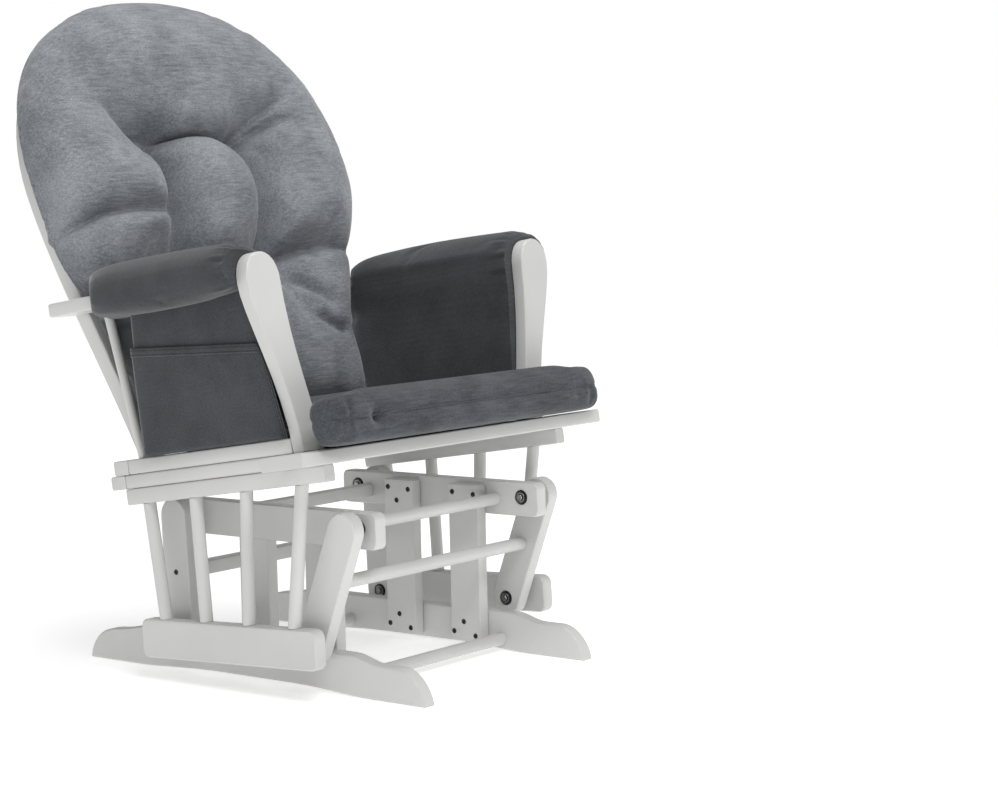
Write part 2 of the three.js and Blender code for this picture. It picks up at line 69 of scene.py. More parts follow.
MM = 0.001
SIDES = (("right", -1), ("left", 1))

# The seat's own frame (x across, v rearwards, w up) and the back's (x across, depth, t up along the back).
CENTRE_Y = 69.4
SEAT_Z = 263.6
SEAT_TILT = math.radians(8.4)
BACK_V = 143.1
BACK_RECLINE = math.radians(14.5)
TO_SEAT = Matrix.Translation((0, -CENTRE_Y * MM, SEAT_Z * MM)) @ Matrix.Rotation(-SEAT_TILT, 4, "X")
TO_BACK = TO_SEAT @ Matrix.Translation((0, BACK_V * MM, 0)) @ Matrix.Rotation(-BACK_RECLINE, 4, "X")


# ---- Materials ----
THREADS_PER_METRE = 260.0
FLOOR_FADE = 3.0  # metres from the chair at which the floor glows most


class Shader:
    """A material's node tree, with short calls for the nodes used here."""

    def __init__(self, name):
        self.material = bpy.data.materials.new(name)
        self.material.use_nodes = True
        self.tree = self.material.node_tree
        self.surface = self.tree.nodes["Principled BSDF"]
        self.place = self.tree.nodes.new("ShaderNodeTexCoord").outputs["Object"]

    def feed(self, socket, value):
        """Links another node's output to the socket, or sets the socket's own value."""
        if isinstance(value, bpy.types.NodeSocket):
            self.tree.links.new(value, socket)
        else:
            socket.default_value = value

    def node(self, kind, **inputs):
        made = self.tree.nodes.new(kind)
        for key, value in inputs.items():
            self.feed(made.inputs[key.replace("_", " ")], value)
        return made

    def stretched(self, x, y, z):
        return self.node("ShaderNodeMapping", Vector=self.place, Scale=(x, y, z)).outputs["Vector"]

    def noise(self, scale, detail=2.0, place=None):
        made = self.node("ShaderNodeTexNoise", Vector=place or self.place, Scale=scale, Detail=detail)
        return made.outputs["Fac"]

    def waves(self, direction, x, y, z):
        made = self.node("ShaderNodeTexWave", Vector=self.stretched(x, y, z), Scale=THREADS_PER_METRE)
        made.bands_direction = direction
        return made.outputs["Fac"]

    def ramp(self, fac, stops):
        made = self.node("ShaderNodeValToRGB", Fac=fac)
        elements = made.color_ramp.elements
        for element, (position, color) in zip(elements, stops):
            element.position = position
            element.color = (*color, 1)
        for position, color in stops[2:]:
            elements.new(position).color = (*color, 1)
        return made.outputs["Color"]

    def mix(self, mode, fac, a, b):
        made = self.tree.nodes.new("ShaderNodeMix")
        made.data_type = "RGBA"
        made.blend_type = mode
        for socket, value in ((made.inputs["Factor"], fac), (made.inputs[6], a), (made.inputs[7], b)):
            self.feed(socket, value)
        return made.outputs[2]

    def math(self, operation, *values):
        made = self.tree.nodes.new("ShaderNodeMath")
        made.operation = operation
        for socket, value in zip(made.inputs, values):
            self.feed(socket, value)
        return made.outputs[0]

    def bump(self, height, strength, distance, below=None):
        made = self.node("ShaderNodeBump", Height=height, Strength=strength, Distance=distance)
        if below is not None:
            self.tree.links.new(below, made.inputs["Normal"])
        return made.outputs["Normal"]

    def finish(self, color, roughness, normal=None, **values):
        self.feed(self.surface.inputs["Base Color"], color)
        self.feed(self.surface.inputs["Roughness"], roughness)
        if normal is not None:
            self.feed(self.surface.inputs["Normal"], normal)
        for key, value in values.items():
            self.feed(self.surface.inputs[key.replace("_", " ")], value)
        return self.material


def paint_material():
    """White paint with a trace of brush marks along the boards."""
    s = Shader("white_paint")
    tone = s.ramp(s.noise(7), [(0.35, (0.600, 0.600, 0.588)), (0.65, (0.645, 0.645, 0.632))])
    brush = s.noise(70, 4, s.stretched(1, 0.12, 1))
    normal = s.bump(brush, 0.12, 0.0006)
    normal = s.bump(s.noise(1400), 0.06, 0.0002, normal)
    rough = s.math("MULTIPLY_ADD", s.noise(35), 0.16, 0.3)
    return s.finish(tone, rough, normal, Coat_Weight=0.12, Coat_Roughness=0.25)


def cloth_material(name, dark, light, streak, fuzz):
    """A heathered plain weave: fine streaks along the width, soft clouds, and a thread bump.

    streak is the streaks' share of the pattern, and the clouds have the rest."""
    s = Shader(name)
    streaks = s.noise(330, 3, s.stretched(0.10, 1, 1))
    clouds = s.math("MULTIPLY", s.noise(16, 3), 1 - streak)
    tone = s.ramp(s.math("MULTIPLY_ADD", streaks, streak, clouds), [(0.36, dark), (0.64, light)])
    fleck = s.ramp(s.noise(900, 2, s.stretched(0.35, 1, 1)), [(0.40, (0.80,) * 3), (0.62, (1.14,) * 3)])
    tone = s.mix("MULTIPLY", 1.0, tone, fleck)
    threads = s.math("MULTIPLY", s.waves("X", 1, 0.02, 0.02), s.waves("DIAGONAL", 0.02, 0.7, 0.7))
    normal = s.bump(threads, 0.35, 0.0004)
    normal = s.bump(s.noise(420, 4, s.stretched(0.35, 1, 1)), 0.35, 0.0010, normal)
    return s.finish(tone, 0.92, normal, Sheen_Weight=fuzz, Sheen_Roughness=0.45, Specular_IOR_Level=0.2)


def metal_material(name, dark, light, roughness, metallic):
    s = Shader(name)
    tone = s.ramp(s.noise(500, 3), [(0.3, dark), (0.7, light)])
    return s.finish(tone, roughness, s.bump(s.noise(1500), 0.08, 0.0002), Metallic=metallic)


def bearing_material():
    s = Shader("black_bearing")
    tone = s.ramp(s.noise(300, 3), [(0.3, (0.0102, 0.0102, 0.01105)), (0.7, (0.012, 0.012, 0.013))])
    return s.finish(tone, 0.42, s.bump(s.noise(900), 0.1, 0.0002))


def floor_material():
    """A pale studio floor, softly lit from below, and more so far away, where the lamps don't reach."""
    s = Shader("pale_floor")
    tone = s.ramp(s.noise(3), [(0.3, (0.93, 0.93, 0.93)), (0.7, (0.95, 0.95, 0.95))])
    distance = s.node("ShaderNodeVectorMath", Vector=s.place)
    distance.operation = "LENGTH"
    share = s.math("DIVIDE", distance.outputs["Value"], FLOOR_FADE)
    glow = s.ramp(share, [(0.25, (0.42,) * 3), (1.0, (0.62,) * 3)])
    return s.finish(tone, 0.8, Emission_Color=glow, Emission_Strength=1.0)


PAINT = paint_material()
BACK_CLOTH = cloth_material("back_cloth", (0.146, 0.157, 0.174), (0.286, 0.299, 0.320), streak=0.5, fuzz=0.22)
SEAT_CLOTH = cloth_material("seat_cloth", (0.043, 0.047, 0.054), (0.084, 0.090, 0.102), streak=0.5, fuzz=0.22)
ARM_CLOTH = cloth_material("arm_cloth", (0.039, 0.043, 0.048), (0.063, 0.068, 0.075), streak=0.4, fuzz=0.34)
BLACK = bearing_material()
STEEL = metal_material("bolt_steel", (0.20, 0.20, 0.205), (0.42, 0.42, 0.43), roughness=0.36, metallic=1.0)
SCREW = metal_material("dark_screw", (0.03, 0.03, 0.032), (0.09, 0.09, 0.092), roughness=0.45, metallic=0.8)
SLOT_MATERIALS = {
    "paint": PAINT,
    "back_cloth": BACK_CLOTH,
    "arm_cloth": ARM_CLOTH,
    "pivot": BLACK,
}


# ---- Mesh helpers ----
CLOTH_FRAMES = 20
CORD_SIDES = 6


def coordinates(mesh):
    co = np.empty(len(mesh.vertices) * 3)
    mesh.vertices.foreach_get("co", co)
    return co.reshape(-1, 3)


def set_coordinates(mesh, co):
    mesh.vertices.foreach_set("co", np.ascontiguousarray(co, dtype=float).ravel())
    mesh.update()


def vertex_normals(mesh):
    normals = np.empty(len(mesh.vertices) * 3)
    mesh.vertices.foreach_get("normal", normals)
    return normals.reshape(-1, 3)


def shade_smooth(mesh):
    mesh.polygons.foreach_set("use_smooth", [True] * len(mesh.polygons))


def fall_off(gap, width, power):
    """1 where the gap is nothing, fading over about the width given; a higher power is flatter on top."""
    return np.exp(-((gap / width) ** power))


def tube_faces(rows, sides):
    """The quads between rings of vertices, one ring after another, and a cap at each end."""
    faces = []
    for row in range(rows - 1):
        for k in range(sides):
            a, b = row * sides + k, row * sides + (k + 1) % sides
            faces.append((a, b, b + sides, a + sides))
    faces.append(tuple(range(sides)))
    faces.append(tuple(range((rows - 1) * sides, rows * sides)))
    return faces


def new_piece(name, verts, faces, material, smooth=True):
    mesh = bpy.data.meshes.new(name)
    mesh.from_pydata([tuple(v) for v in verts], [], [tuple(f) for f in faces])
    clean = bmesh.new()
    clean.from_mesh(mesh)
    bmesh.ops.recalc_face_normals(clean, faces=clean.faces)
    clean.to_mesh(mesh)
    clean.free()
    mesh.materials.append(material)
    if smooth:
        shade_smooth(mesh)
    piece = bpy.data.objects.new(name, mesh)
    bpy.context.scene.collection.objects.link(piece)
    return piece


def bake(piece):
    """Applies the piece's modifiers to its mesh."""
    depsgraph = bpy.context.evaluated_depsgraph_get()
    result = bpy.data.meshes.new_from_object(piece.evaluated_get(depsgraph))
    materials = list(piece.data.materials)
    piece.modifiers.clear()
    piece.data = result
    result.materials.clear()
    for material in materials:
        result.materials.append(material)


def soften(piece, voxel, rounds):
    """Turns a rough closed form into an even, soft-edged skin of small quads."""
    remesh = piece.modifiers.new("remesh", "REMESH")
    remesh.mode = "VOXEL"
    remesh.voxel_size = voxel * MM
    smooth = piece.modifiers.new("smooth", "SMOOTH")
    smooth.factor = 0.5
    smooth.iterations = rounds
    bake(piece)


def fit(piece, low, high):
    """Stretches the piece to fill a box given in millimetres; None leaves an axis alone."""
    co = coordinates(piece.data)
    for axis, (start, end) in enumerate(zip(low, high)):
        if start is None:
            continue
        least, most = co[:, axis].min(), co[:, axis].max()
        co[:, axis] = start * MM + (co[:, axis] - least) * (end - start) * MM / (most - least)
    set_coordinates(piece.data, co)


def subdivide(piece):
    divide = piece.modifiers.new("subdivide", "SUBSURF")
    divide.levels = divide.render_levels = 1
    bake(piece)
    shade_smooth(piece.data)


def prism(section, low, high):
    """A closed solid: the section, in x and w, swept along v from low to high."""
    count = len(section)
    verts = [(x * MM, v * MM, w * MM) for v in (low, high) for x, w in section]
    faces = [tuple(range(count)), tuple(range(2 * count - 1, count - 1, -1))]
    faces += [(i, (i + 1) % count, count + (i + 1) % count, count + i) for i in range(count)]
    return verts, faces


def inflate(piece, held, pressure, cap):
    """Cloth under air pressure, with the held vertices fixed and every move capped (in millimetres)."""
    scene = bpy.context.scene
    before = coordinates(piece.data)
    group = piece.vertex_groups.new(name="held")
    group.add([int(i) for i in np.flatnonzero(held)], 1.0, "REPLACE")
    cloth = piece.modifiers.new("cloth", "CLOTH")
    settings = cloth.settings
    settings.quality = 4
    settings.mass = 0.25
    settings.use_pressure = True
    settings.uniform_pressure_force = pressure
    settings.vertex_group_mass = "held"
    settings.tension_stiffness = settings.compression_stiffness = 12.0
    settings.bending_stiffness = 0.3
    settings.effector_weights.gravity = 0.0
    cloth.point_cache.frame_start = 1
    cloth.point_cache.frame_end = CLOTH_FRAMES
    for number in range(1, CLOTH_FRAMES + 1):
        scene.frame_set(number)
    bake(piece)
    scene.frame_set(1)
    moved = coordinates(piece.data) - before
    reach = np.linalg.norm(moved, axis=1, keepdims=True)
    moved *= np.minimum(1.0, cap * MM / np.maximum(reach, 1e-9))
    set_coordinates(piece.data, before + moved)


def sewn_cord(piece, name, starts, targets, radius, sunk):
    """A thin cord laid on the piece, where the rays from starts towards targets first meet it.

    Its middle lies sunk below the surface."""
    mesh = piece.data
    tree = BVHTree.FromPolygons([v.co for v in mesh.vertices], [p.vertices for p in mesh.polygons])
    points = []
    outward = []
    for start, target in zip(starts, targets):
        ray = Vector(target) - Vector(start)
        place, normal, _, _ = tree.ray_cast(Vector(start), ray.normalized())
        if place is not None:
            points.append(np.array(place) - np.array(normal) * sunk * MM)
            outward.append(np.array(normal))
    points = np.array(points)
    points[1:-1] = (points[:-2] + points[1:-1] * 2 + points[2:]) / 4
    ahead = np.gradient(points, axis=0)
    verts = []
    for point, tangent, normal in zip(points, ahead, outward):
        tangent = tangent / np.linalg.norm(tangent)
        normal = normal - tangent * (normal @ tangent)
        normal /= np.linalg.norm(normal)
        across = np.cross(tangent, normal)
        for k in range(CORD_SIDES):
            angle = 2 * math.pi * k / CORD_SIDES
            verts.append(point + (normal * math.cos(angle) + across * math.sin(angle)) * radius * MM)
    return new_piece(name, verts, tube_faces(len(points), CORD_SIDES), mesh.materials[0])


def cut_flat(piece, v):
    """Cuts the piece square at v and closes it with a flat, sharp-edged end."""
    work = bmesh.new()
    work.from_mesh(piece.data)
    everything = work.verts[:] + work.edges[:] + work.faces[:]
    plane = (0, v * MM, 0)
    bmesh.ops.bisect_plane(work, geom=everything, plane_co=plane, plane_no=(0, -1, 0), clear_outer=True)
    rim = [edge for edge in work.edges if edge.is_boundary]
    for edge in rim:
        edge.smooth = False
    bmesh.ops.holes_fill(work, edges=rim, sides=0)
    work.to_mesh(piece.data)
    work.free()
    piece.data.update()


def place_on_seat(piece, matrix):
    """Moves the piece out of its own frame and hangs it on the seat body."""
    piece.data.transform(matrix)
    piece.data.update()
    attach(piece, "seat")


def place_soft(piece, matrix, node):
    place_on_seat(piece, matrix)
    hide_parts(node)


def distance_to_line(points, line):
    """Each point's distance to a polyline, and how far along it the nearest place is (0 to 1)."""
    line = np.asarray(line, float)
    lengths = np.linalg.norm(np.diff(line, axis=0), axis=1)
    total = lengths.sum()
    best = np.full(len(points), 1e9)
    share = np.zeros(len(points))
    travelled = 0.0
    for start, end, length in zip(line[:-1], line[1:], lengths):
        step = end - start
        along = np.clip((points - start) @ step / max(length**2, 1e-9), 0, 1)
        gap = np.linalg.norm(points - (start + along[:, None] * step), axis=1)
        nearer = gap < best
        best[nearer] = gap[nearer]
        share[nearer] = ((travelled + along * length) / total)[nearer]
        travelled += length
    return best, share


# ---- The painted frame ----
def smooth_normals(node, limit=math.radians(50)):
    """Rounds the look of chamfers and dowels with area-weighted corner normals; no vertex moves."""
    mesh = node.data
    co = coordinates(mesh)
    faces = [(np.array(p.normal), p.area, p.vertices[:], p.loop_indices) for p in mesh.polygons]
    around = {}
    for index, (_, _, corners, _) in enumerate(faces):
        for corner in corners:
            around.setdefault(tuple(np.round(co[corner], 6)), []).append(index)
    normals = [None] * len(mesh.loops)
    cosine = math.cos(limit)
    for normal, _, corners, loops in faces:
        for corner, loop in zip(corners, loops):
            total = np.zeros(3)
            for other in around[tuple(np.round(co[corner], 6))]:
                if faces[other][0] @ normal > cosine:
                    total += faces[other][0] * faces[other][1]
            normals[loop] = total / max(np.linalg.norm(total), 1e-12)
    shade_smooth(mesh)
    mesh.normals_split_custom_set([tuple(n) for n in normals])


def dress_frame():
    slots = {row["node"]: row["material_slot"] for row in frame["record"]["subparts"]}
    for name, node in frame["nodes"].items():
        node.data.materials.clear()
        node.data.materials.append(SLOT_MATERIALS[slots[name]])
        smooth_normals(node)


# ---- Screws and pivots ----
# Screws in each post's foot end and base rail end, as (rearwards from the post's middle, height).
LOW_SCREWS = ((3, 40), (21, 25), (-18, 21))
HIGH_SCREWS = ((19, 227), (-19, 225), (3, 208))
# A pivot's washer and bolt head, as (radius, distance outwards from the bearing ring's inner face).
WASHER = ((7.2, 2.6), (7.2, 1.7), (6.9, 1.4), (5.6, 1.4))
BOLT_HEAD = ((4.9, 3.0), (4.9, -0.2), (4.3, -0.8))


def ring(centre, side, radius, out, count):
    """Points round the x axis through centre, moved out towards +x times side."""
    points = []
    for k in range(count):
        angle = 2 * math.pi * k / count
        y = centre[1] + radius * MM * math.cos(angle)
        z = centre[2] + radius * MM * math.sin(angle)
        points.append((centre[0] + side * out * MM, y, z))
    return points


def turned(name, profile, centre, side, sides=24):
    """A steel part turned about the x axis: profile is (radius, distance towards +x times side)."""
    verts = []
    for radius, out in profile:
        verts += ring(centre, side, radius, out, sides)
    return new_piece(name, verts, tube_faces(len(profile), sides), STEEL, smooth=False)


def screw_head(name, body, centre, side):
    """A countersunk screw with a hexagonal socket, its face 0.5 mm proud of the wood."""
    verts = []
    loops = []
    for radius, out, count in ((3.9, 0.0, 24), (3.6, 0.5, 24), (1.9, 0.55, 6), (1.9, -1.4, 6)):
        loops.append(range(len(verts), len(verts) + count))
        verts += ring(centre, side, radius, out, count)
    rim, face, mouth, socket = loops
    faces = []
    for k in range(24):
        following = (k + 1) % 24
        faces.append((rim[k], rim[following], face[following], face[k]))
        inner, inner_next = mouth[k // 4], mouth[((k + 1) // 4) % 6]
        corners = [face[k], face[following], inner_next]
        if inner != inner_next:
            corners.append(inner)
        faces.append(tuple(corners))
    for k in range(6):
        following = (k + 1) % 6
        faces.append((mouth[k], mouth[following], socket[following], socket[k]))
    faces += [tuple(socket), tuple(rim)]
    piece = new_piece(name, verts, faces, SCREW, smooth=False)
    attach(piece, body)


def add_screws():
    """Three screws in a triangle where each post meets its foot and its base rail, on the inner faces."""
    for name, side in SIDES:
        for place in ("front", "rear"):
            low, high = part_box(f"{name}_{place}_post")
            inner = min(abs(low.x), abs(high.x)) * side
            middle = (low.y + high.y) / 2
            for number, (dy, z) in enumerate(LOW_SCREWS + HIGH_SCREWS, 1):
                centre = (inner, middle + dy * MM, z * MM)
                screw_head(f"{name}_{place}_post_screw_{number}", "base", centre, -side)
        low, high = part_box("rear_link_crossbar")
        link_low, link_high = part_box(f"{name}_rear_link")
        outer = max(abs(link_low.x), abs(link_high.x)) * side
        centre = (outer, (low.y + high.y) / 2, (low.z + high.z) / 2)
        screw_head(f"{name}_crossbar_screw", "rear_links", centre, side)


def add_pivot_details():
    """Each pivot's inner end: a steel hexagon bolt head and washer in the black bearing ring."""
    for name, side in SIDES:
        for place in ("upper_front", "upper_rear", "lower_front", "lower_rear"):
            node = f"{name}_{place}_pivot"
            low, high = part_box(node)
            inner = min(abs(low.x), abs(high.x)) * side
            centre = (inner, (low.y + high.y) / 2, (low.z + high.z) / 2)
            body = frame["nodes"][node]["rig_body"]
            washer = turned(f"{node}_washer", WASHER, centre, side)
            head = turned(f"{node}_bolt_head", BOLT_HEAD, centre, side, 6)
            for piece in (washer, head):
                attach(piece, body)


# ---- Back cushion ----
CUSHION_BOTTOM = 98.0
CUSHION_TOP = 731.0
SHOULDER = 455.0  # height at which the cushion is widest
SHOULDER_HALF = 308.0
TOP_ROUNDNESS = 2.3  # 2 is an ellipse, more is squarer
FOOT_HALF = 195.0
CUSHION_FRONT = 80.0  # how far the front swells beyond the rim
CUSHION_REAR = 15.0  # and the rear behind it
LUMBAR = 190.0  # height at which the front swells least
SEAT_TOP = 112.0  # height of the seat cushion, on which the back cushion stands
RIM = -43.0  # depth of the widest outline, in front of the hoop's rear plane
DEEPEST = RIM + 9  # how deep a valley or tuft may go, so that the rear cover stays whole
WAIST = 318.0  # height at which the cushion leans most to the sitter's right
WAIST_LEAN = 20.0
TUFT_X = 85.0
UPPER_TUFTS = 511.0
LOWER_TUFTS = 320.0
TUFTS = tuple((x, t) for t in (UPPER_TUFTS, LOWER_TUFTS) for x in (-TUFT_X, TUFT_X))
UPPER_RIGHT, UPPER_LEFT, LOWER_RIGHT, LOWER_LEFT = TUFTS
HOLLOW_SHIFT = 20.0  # how far the hollow round a tuft lies to the sitter's right of it
VALLEY_PINCH = 19.0  # how much deeper the thread pulls a valley's bottom
TUFT_PINCH = 46.0  # and a tuft's middle
FOLD_HEIGHT = 3.2  # of the small folds round a tuft
LIP_REACH = 74.0  # half the length of the roll that overhangs the valley between the upper tufts
LIP_FORWARD = 15.0
LIP_DOWN = 14.0
BACK_BOX = ((-SHOULDER_HALF, None, CUSHION_BOTTOM), (SHOULDER_HALF, None, CUSHION_TOP))


def back_half_width(t):
    """Half the cushion's width at t, for an array of heights."""
    t = np.clip(t, CUSHION_BOTTOM, CUSHION_TOP)
    over = np.clip((t - SHOULDER) / (CUSHION_TOP - SHOULDER), 0, 1)
    upper = SHOULDER_HALF * (1 - over**TOP_ROUNDNESS) ** (1 / TOP_ROUNDNESS)
    share = np.clip((t - CUSHION_BOTTOM) / (SHOULDER - CUSHION_BOTTOM), 0, 1) ** 1.5
    lower = FOOT_HALF + (SHOULDER_HALF - FOOT_HALF) * np.sin(share * math.pi / 2)
    return np.where(t > SHOULDER, upper, lower)


# Sewn valleys and folds: line in (x, t), strength at its two ends, and half-width.
BACK_CREASES = (
    ((UPPER_RIGHT, (-86, 440), (-84, 380), LOWER_RIGHT), 0.66, 0.76, 23),
    ((UPPER_LEFT, (86, 440), (84, 380), LOWER_LEFT), 0.66, 0.80, 22),
    ((UPPER_RIGHT, (-40, 517), (0, 519), (40, 517), UPPER_LEFT), 0.80, 0.80, 14),
    ((LOWER_RIGHT, (-30, 312), (30, 312), LOWER_LEFT), 0.75, 0.75, 16),
    ((UPPER_RIGHT, (-130, 528), (-186, 550)), 0.86, 0.15, 30),
    ((UPPER_LEFT, (140, 525), (206, 537)), 0.85, 0.0, 15),
    ((UPPER_LEFT, (120, 538), (196, 570)), 0.70, 0.0, 14),
    (((-92, 397), (-168, 396), (-232, 391), (-290, 372)), 0.42, 0.50, 11),
    ((LOWER_LEFT, (150, 331), (215, 335), (262, 330)), 0.86, 0.40, 16),
    ((LOWER_RIGHT, (-150, 316), (-240, 300)), 0.80, 0.20, 18),
    ((LOWER_RIGHT, (-88, 240), (-80, 170)), 0.70, 0.10, 22),
    ((LOWER_LEFT, (88, 240), (80, 180)), 0.50, 0.0, 20),
    (((104, 214), (130, 206), (160, 196)), 0.10, 0.26, 8),
    (((96, 278), (119, 262), (146, 240)), 0.18, 0.20, 11),
)


def crease_depth(flat, creases):
    """How far the valleys draw the surface in, from 0 to 1, with sharp bottoms and broad shoulders."""
    deepest = np.zeros(len(flat))
    kept = np.ones(len(flat))
    for line, first, last, width in creases:
        gap, share = distance_to_line(flat, line)
        drawn = (first + (last - first) * share) * fall_off(gap, width, 1.15)
        deepest = np.maximum(deepest, drawn)
        kept *= 1 - drawn
    return 0.7 * deepest + 0.3 * (1 - kept)


def back_cushion_solid():
    """The cushion before sewing: a plump front and a flatter rear, rounded all round."""
    rings = 34
    sides = 64
    verts = []
    middle = (CUSHION_TOP + CUSHION_BOTTOM) / 2
    reach = (CUSHION_TOP - CUSHION_BOTTOM) / 2
    for i in range(rings):
        t = middle - reach * math.cos(math.pi * (i + 0.5) / rings)
        half = float(back_half_width(np.array([t]))[0])
        dome = (1 - abs((t - middle) / reach) ** 4) ** 0.5
        front = CUSHION_FRONT * (1 - 0.34 * math.exp(-(((t - LUMBAR) / 110) ** 2)))
        for k in range(sides):
            angle = 2 * math.pi * k / sides
            sine = math.sin(angle)
            depth = -front * abs(sine) ** 0.8 if sine > 0 else CUSHION_REAR * abs(sine) ** 0.6
            verts.append((half * math.cos(angle) * MM, (RIM + depth * dome) * MM, t * MM))
    return verts, tube_faces(rings, sides)


def rim_distance(co):
    """Distance inside the back cushion's outline, in millimetres, roughly."""
    x, t = np.abs(co[:, 0]) / MM, co[:, 2] / MM
    sideways = back_half_width(t) - x
    downwards = np.minimum(CUSHION_TOP - t, t - CUSHION_BOTTOM)
    return np.minimum(sideways, downwards * 1.2)


def sew_back(piece):
    """Draws the front in along the valleys and round the tufts. Gives how far each vertex went, 0 to 1."""
    co = coordinates(piece.data)
    flat = co[:, [0, 2]] / MM
    swell = np.clip(RIM - co[:, 1] / MM, 0, None)
    tufts = np.zeros(len(co))
    for x, t in TUFTS:
        gap = np.linalg.norm(flat - (x, t), axis=1)
        away = flat - (x - HOLLOW_SHIFT, t)
        away[:, 0] *= np.where(away[:, 0] < 0, 0.8, 1.15)
        around = np.linalg.norm(away, axis=1)
        button = 0.5 * fall_off(gap, 13.0, 1.3)
        hollow = 0.56 * fall_off(around, 42.0, 1.6)
        tufts = np.maximum(tufts, 1 - (1 - button) * (1 - hollow))
    drawn = 1 - (1 - crease_depth(flat, BACK_CREASES)) * (1 - tufts)
    co[:, 1] += swell * drawn * MM
    set_coordinates(piece.data, co)
    return drawn


def gather_edge(piece):
    """Small puckers square to the sewn edge round the cushion, fading away from it."""
    wave = 15.0
    height = 0.6
    co = coordinates(piece.data)
    off_edge = np.abs(co[:, 1] / MM - (RIM + 8)) + np.clip(rim_distance(co) - 14, 0, None)
    along = (co[:, 0] * 0.8 + co[:, 2]) / MM
    ripple = np.sin(along * 2 * math.pi / wave) + 0.6 * np.sin(along * 2 * math.pi / (wave * 0.61) + 1.3)
    push = ripple * fall_off(off_edge, 16.0, 2) * height * MM
    set_coordinates(piece.data, co + vertex_normals(piece.data) * push[:, None])


def make_back_cushion():
    piece = new_piece("back_cushion_cover", *back_cushion_solid(), BACK_CLOTH)
    soften(piece, voxel=6.0, rounds=6)
    fit(piece, *BACK_BOX)
    drawn = sew_back(piece)
    rear = coordinates(piece.data)[:, 1] / MM > RIM + 6
    inflate(piece, (drawn > 0.62) | rear, pressure=3.0, cap=12.0)
    fit(piece, *BACK_BOX)
    subdivide(piece)
    gather_edge(piece)
    pinch_back(piece)
    slump(piece)
    rest_on_seat(piece)
    place_on_seat(back_piping(piece), TO_BACK)
    place_soft(piece, TO_BACK, "back_cushion")


def pinch_depth(flat):
    """How much deeper, in millimetres, each place goes at a valley's bottom, a tuft or a fold beside it."""
    pull = np.zeros(len(flat))
    for line, first, last, _ in BACK_CREASES:
        gap, share = distance_to_line(flat, line)
        strength = first + (last - first) * share
        pull = np.maximum(pull, VALLEY_PINCH * strength * fall_off(gap, 8.0, 1.2))
    for number, (x, t) in enumerate(TUFTS):
        row, column = divmod(number, 2)
        away = flat - (x, t)
        gap = np.linalg.norm(away, axis=1)
        angle = np.arctan2(away[:, 1], away[:, 0])
        folds = np.sin(angle * 7 + row + 2 * column) + 0.5 * np.sin(angle * 12 + 1.7 * row)
        pull += FOLD_HEIGHT * folds * (gap / 14) * fall_off(gap, 27, 1.5)
        pull = np.maximum(pull, TUFT_PINCH * fall_off(gap, 12.0, 1.2))
    return pull


def pinch_back(piece):
    """Sharpens the valleys and tufts, and lets the top roll overhang the valley between the upper tufts."""
    co = coordinates(piece.data)
    flat = co[:, [0, 2]] / MM
    in_front = co[:, 1] / MM < DEEPEST
    pull = pinch_depth(flat)[in_front] * MM
    co[in_front, 1] = np.minimum(co[in_front, 1] + pull, DEEPEST * MM)
    above = flat[:, 1] - UPPER_TUFTS - 14
    height = np.where(above > 0, 28.0, 14.0)
    lip = fall_off(np.abs(flat[:, 0]), LIP_REACH, 4) * fall_off(np.abs(above), height, 2) * in_front
    co[:, 1] -= LIP_FORWARD * lip * MM
    co[:, 2] -= LIP_DOWN * lip * MM
    set_coordinates(piece.data, co)


def back_piping(piece):
    """The sewn edge that runs round the cushion's outline, open at the foot."""
    steps = 220
    first, sweep = -52, 284  # degrees, from the foot's left corner over the top to its right corner
    beyond = 0.6  # metres, outside the cushion
    depth = (RIM + 2) * MM
    height = 0.42  # metres, of the point that the cord runs round
    starts = []
    for step in range(steps):
        angle = math.radians(first + sweep * step / (steps - 1))
        starts.append((beyond * math.cos(angle), depth, height + beyond * math.sin(angle)))
    targets = [(0.0, depth, height)] * steps
    return sewn_cord(piece, "back_cushion_piping", starts, targets, radius=2.0, sunk=0.4)


def slump(piece):
    """Leans the cushion's waist a little to the sitter's right, where it has settled between the arms."""
    co = coordinates(piece.data)
    t = co[:, 2] / MM
    co[:, 0] -= WAIST_LEAN * fall_off(t - WAIST, 78, 2) * MM
    set_coordinates(piece.data, co)


def rest_on_seat(piece):
    """Flattens the cushion's foot where it stands on the seat cushion."""
    co = coordinates(piece.data)
    gap = 0.8
    lowest = SEAT_TOP + gap + co[:, 1] / MM * math.sin(BACK_RECLINE)
    co[:, 2] = np.maximum(co[:, 2], lowest / math.cos(BACK_RECLINE) * MM)
    set_coordinates(piece.data, co)


# ---- Seat cushion ----
SEAT_LOW = 42.6
SEAT_BOX = ((-294, -255, SEAT_LOW), (294, 114, SEAT_TOP))
SEAT_SEAM = 76.0  # height of the seam round the cushion's edge
SEAT_TUFT = (-196, 74)  # on the front face, as (x, w)
# Folds on the front face: line in (x, w), depth at its two ends, and half-width.
SEAT_CREASES = (
    (((-262, 73), SEAT_TUFT), 3.0, 4.0, 5),
    ((SEAT_TUFT, (-158, 86)), 8.0, 0.0, 6),
    ((SEAT_TUFT, (-168, 60)), 7.0, 0.0, 5),
    ((SEAT_TUFT, (-190, 100)), 7.0, 0.0, 5),
    ((SEAT_TUFT, (-218, 96)), 7.0, 0.0, 5),
    ((SEAT_TUFT, (-218, 57)), 7.0, 0.0, 5),
    (((-250, 96), (-252, 60)), 4.0, 3.0, 4),
    (((60, 70), (200, 78)), 1.0, 2.5, 5),
)


